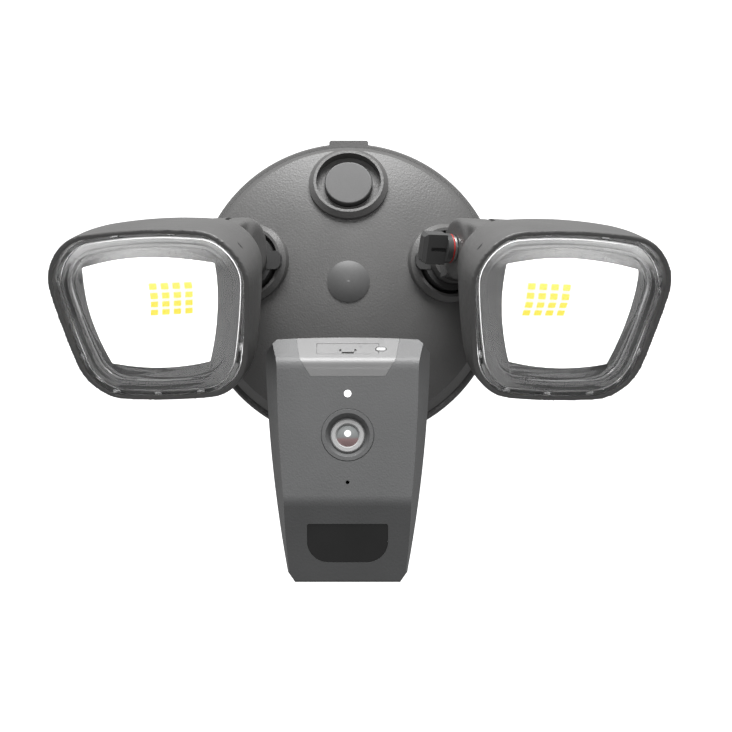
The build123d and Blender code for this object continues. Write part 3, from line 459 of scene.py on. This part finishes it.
def lampBarrel(lamp, radius, start, length, rounding):  # solid along the hinge, rounded at its far end
    bpy.ops.object.select_all(action='DESELECT')
    bpy.ops.mesh.primitive_cylinder_add(vertices=96, radius=radius * 0.001, depth=abs(length) * 0.001)
    barrel = bpy.context.object
    barrel.data.transform(Matrix.Translation((0, 0, (start + length / 2) * 0.001)))
    along = lamp.right * lamp.side
    across = lamp.forward
    turn = Matrix((across, along.cross(across), along)).transposed().to_4x4()
    if rounding:
        far = (start + length) * 0.001
        bpy.ops.object.mode_set(mode='EDIT')
        bpy.ops.mesh.select_all(action='DESELECT')
        bpy.ops.mesh.select_mode(type='EDGE')
        bpy.ops.object.mode_set(mode='OBJECT')
        for edge in barrel.data.edges:
            ends = [barrel.data.vertices[index].co.z for index in edge.vertices]
            edge.select = max(abs(end - far) for end in ends) < 0.00001
        bpy.ops.object.mode_set(mode='EDIT')
        bpy.ops.mesh.bevel(offset=rounding * 0.001, segments=6)
        bpy.ops.object.mode_set(mode='OBJECT')
    barrel.data.transform(Matrix.Translation(lamp.hinge) @ turn)
    return barrel


def lampBox(lamp, low, high):  # box between two corners given in the lamp's own millimetres
    bpy.ops.object.select_all(action='DESELECT')
    bpy.ops.mesh.primitive_cube_add(size=1.0)
    box = bpy.context.object
    for vertex in box.data.vertices:
        vertex.co = lamp.point(*[low[axis] if vertex.co[axis] < 0 else high[axis] for axis in range(3)])
    return box


def neckSolid(lamp):  # the throat that carries the barrel into the bowl
    reach = lampShape["lugLength"][lamp.side]
    start = lampShape["hingeToMiddle"]
    rings = []
    for ahead, low, high, shortfall in neckStations:
        near, far = -lamp.side * start, -lamp.side * (start + reach - shortfall)
        corners = ((near, low), (near, high), (far, high), (far, low))
        rings.append([lamp.point(x, y, ahead) for x, y in corners])
    return loftRings(rings, 'caps')


def frontCutter(lamp):  # everything ahead of the slanted front edge
    cutter = lampBox(lamp, (-70, -60, 0), (70, 60, 30))
    for vertex in cutter.data.vertices:
        local = lamp.matrix().inverted() @ vertex.co
        if local.z < 0.010:
            edge = housingCuts["edgeAhead"] + local.y * 1000 * housingCuts["edgeSlant"]
            vertex.co = lamp.point(local.x * 1000, local.y * 1000, edge)
    return cutter


def buildHousing(lamp):
    side = lamp.side
    skins = [ringAt(lamp, hoodOutline(inset, lift), ahead) for ahead, inset, lift in hoodStations]
    hood = loftRings(skins, 'caps')
    lug = lampBarrel(lamp, lampShape["lugRadius"], 0.0, -lampShape["lugLength"][side],
                     lampShape["lugRound"][side])
    housing = joinPieces(hood, [neckSolid(lamp), lug])
    smoothRemesh(housing, 0.0010, 14)
    lip = [ringAt(lamp, hoodOutline(housingCuts["lipInset"]), ahead) for ahead in housingCuts["lipAhead"]]
    hollow = [ringAt(lamp, hoodOutline(inset), ahead) for ahead, inset in cavityStations]
    cutAway(housing, loftRings(lip, 'caps'))
    cutAway(housing, loftRings(hollow, 'caps'))
    cutAway(housing, frontCutter(lamp))
    cutAway(housing, lampBarrel(lamp, *housingCuts["knuckle"], 0.0))
    if side > 0:
        cutAway(housing, lampBarrel(lamp, *housingCuts["screwHole"], 0.0))
    smoothRemesh(housing, 0.00075, 2)
    finishPiece(housing, lamp.name + "LampBowl", lamp.name + "_head", finishes["casing_grey"],
                lamp.name + "_housing", 60.0)
    print(lamp.name, "bowl", len(housing.data.polygons), "faces")


# inset from the hood's outline and distance ahead, from the back edge over the ridges to the clear middle
coverProfile = [(2.7, -2.7), (2.7, 0.0), (2.9, 0.45), (3.3, 0.6), (4.3, 0.6), (4.6, 0.3),
                (4.7, -0.1), (5.2, -0.1), (5.3, 0.3), (5.6, 0.6), (6.6, 0.7), (7.4, 0.5),
                (7.8, 0.1), (8.3, 0.0), (8.7, 0.3), (9.1, 0.3), (9.5, -0.1), (9.9, -0.6)]


def buildCover(lamp):
    rings = [ringAt(lamp, hoodOutline(inset), ahead) for inset, ahead in coverProfile]
    cover = loftRings(rings, 'caps')
    capEnd(cover)
    finishPiece(cover, lamp.name + "LampCover", lamp.name + "_head", finishes["clear_cover"],
                lamp.name + "_lens_cover", 50.0)


# angles round the cover in degrees, counted from the viewer's right; size and rounding in metres
coverClip = {"angles": [18, 70, 112, 158, 204, 236, 262, 298, 340], "inset": 3.6,
             "size": (0.0042, 0.0013, 0.0012), "rounding": 0.0004, "ahead": 0.0007}


def buildClips(lamp):  # the little moulded catches in the groove between cover and rim
    outline = hoodOutline(coverClip["inset"])
    bpy.ops.object.select_all(action='DESELECT')
    bpy.ops.mesh.primitive_cube_add(size=1.0)
    clip = bpy.context.object
    for vertex in clip.data.vertices:
        vertex.co = Vector([part * size for part, size in zip(vertex.co, coverClip["size"])])
    bpy.ops.object.mode_set(mode='EDIT')
    bpy.ops.mesh.select_all(action='SELECT')
    bpy.ops.mesh.bevel(offset=coverClip["rounding"], segments=2)
    bpy.ops.object.mode_set(mode='OBJECT')
    pieces = []
    for angle in coverClip["angles"]:
        way = Vector((math.cos(math.radians(angle)), math.sin(math.radians(angle))))
        index = max(range(len(outline)), key=lambda spot: Vector(outline[spot]).normalized().dot(way))
        here, after = Vector(outline[index]), Vector(outline[(index + 2) % len(outline)])
        along = (after - here).normalized()
        piece = clip.copy()
        piece.data = clip.data.copy()
        bpy.context.scene.collection.objects.link(piece)
        turn = Matrix(((along.x, -along.y, 0, 0), (along.y, along.x, 0, 0), (0, 0, 1, 0), (0, 0, 0, 1)))
        spot = Matrix.Translation((here.x * 0.001, here.y * 0.001, coverClip["ahead"]))
        piece.data.transform(lamp.matrix() @ spot @ turn)
        pieces.append(piece)
    bpy.data.objects.remove(clip)
    clips = joinPieces(pieces[0], pieces[1:])
    finishPiece(clips, lamp.name + "CoverClips", lamp.name + "_head", finishes["clear_cover"],
                lamp.name + "_lens_cover", 40.0)


def capEnd(obj):  # closes the last open ring
    bpy.ops.object.mode_set(mode='EDIT')
    bpy.ops.mesh.select_mode(type='EDGE')
    bpy.ops.mesh.select_all(action='DESELECT')
    bpy.ops.mesh.select_non_manifold()
    bpy.ops.mesh.edge_face_add()
    bpy.ops.object.mode_set(mode='OBJECT')


# inset or growth of an outline and its distance ahead, for the moulding round the mouth and the cup behind it
bezelOuter = [(4.5, -4.2), (4.5, -3.1), (8.6, -3.1), (9.4, -3.3)]
bezelInner = [(0.3, -4.6), (0.0, -4.9), (0.0, -5.4), (1.0, -5.4)]
cupShape = {"mouth": -5.5, "back": -31.0, "wall": 0.9}


def buildReflector(lamp):
    shift = lamp.side * lampShape["panelShift"]
    rings = [ringAt(lamp, hoodOutline(inset), ahead) for inset, ahead in bezelOuter]
    rings += [ringAt(lamp, mouthOutline(growth), ahead, shift) for growth, ahead in bezelInner]
    bezel = loftRings(rings, 'tube')
    finishPiece(bezel, lamp.name + "LampBezel", lamp.name + "_head", finishes["bezel"],
                lamp.name + "_reflector", 40.0)
    mouth, back, wall = cupShape["mouth"], cupShape["back"], cupShape["wall"]
    cup = loftRings([ringAt(lamp, mouthOutline(0.0), mouth, shift),
                     ringAt(lamp, backOutline(0.0), back, shift),
                     ringAt(lamp, backOutline(wall), back, shift),
                     ringAt(lamp, mouthOutline(wall), mouth, shift)], 'tube')
    finishPiece(cup, lamp.name + "LampCup", lamp.name + "_head",
                finishes["reflector_white"], lamp.name + "_reflector", 40.0)


for side in (1, -1):
    lamp = LampFrame(side)
    buildHousing(lamp)
    buildCover(lamp)
    buildClips(lamp)
    buildReflector(lamp)
print("lamps built")


studio = {"floorDrop": 0.9, "floorHalf": 4.0, "wallHeight": 6.0, "ambient": 0.40, "aim": (0, -0.03, -0.02)}
lampLights = [
    {"name": "topSoft", "place": (0.0, -0.62, 1.20), "size": (1.1, 0.5), "watts": 38.0},
    {"name": "frontFill", "place": (0.0, -1.9, 0.45), "size": (0.5, 0.5), "watts": 5.0},
]


def whiteSurface():
    paint = Paint("studioWhite")
    cloud = paint.noise(3.0, 2.0)
    colour = paint.blend(cloud, grey(0.93), grey(0.96))
    return paint.surface({"Base Color": colour, "Roughness": 0.85, "Emission Color": grey(1.0),
                          "Emission Strength": 1.0, "Normal": paint.bump(cloud, 0.0005)})


def aimed(place, target):  # turn that points an object's -Z at the target
    return (Vector(target) - Vector(place)).to_track_quat('-Z', 'Y').to_euler()


def buildStudio():
    bpy.ops.mesh.primitive_plane_add(size=2 * studio["floorHalf"], location=(0, 0, -studio["floorDrop"]))
    floor = bpy.context.object
    floor.name = "studioSweep"
    bpy.ops.object.mode_set(mode='EDIT')
    bpy.ops.mesh.select_mode(type='EDGE')
    bpy.ops.mesh.select_all(action='DESELECT')
    bpy.ops.object.mode_set(mode='OBJECT')
    for edge in floor.data.edges:
        ends = [floor.data.vertices[index].co.y for index in edge.vertices]
        edge.select = min(ends) > studio["floorHalf"] - 0.001
    bpy.ops.object.mode_set(mode='EDIT')
    bpy.ops.mesh.extrude_region_move(TRANSFORM_OT_translate={"value": (0, 0, studio["wallHeight"])})
    bpy.ops.object.mode_set(mode='OBJECT')
    bpy.ops.object.transform_apply(location=True, rotation=True, scale=True)
    floor.data.materials.append(whiteSurface())
    floor.visible_diffuse = False  # the sweep is only a background: it throws no light on the fixture
    floor.visible_glossy = False


def addSoftLight(values):
    bpy.ops.object.light_add(type='AREA', location=values["place"])
    light = bpy.context.object
    light.name = values["name"]
    light.data.shape = 'RECTANGLE'
    light.data.size, light.data.size_y = values["size"]
    light.data.energy = values["watts"]
    light.rotation_euler = aimed(values["place"], studio["aim"])


def setWorld(strength):
    world = bpy.data.worlds.new("softWorld")
    world.use_nodes = True
    world.node_tree.nodes["Background"].inputs["Color"].default_value = (1, 1, 1, 1)
    world.node_tree.nodes["Background"].inputs["Strength"].default_value = strength
    bpy.context.scene.world = world


# the camera stands below the middle and looks up at the fixture
cameraView = {"target": (0.0084, -0.0011, -0.0362), "place": (0.0053, -1.1848, -0.2369), "lens": 122.75}


def buildCamera():
    bpy.ops.object.camera_add(location=cameraView["place"])
    camera = bpy.context.object
    camera.name = "viewCamera"
    camera.data.lens = cameraView["lens"]
    camera.data.sensor_width = 36.0
    camera.rotation_euler = aimed(cameraView["place"], cameraView["target"])
    bpy.context.scene.camera = camera


buildStudio()
for values in lampLights:
    addSoftLight(values)
setWorld(studio["ambient"])
buildCamera()
bpy.context.scene.view_settings.view_transform = 'Standard'
print("studio built")
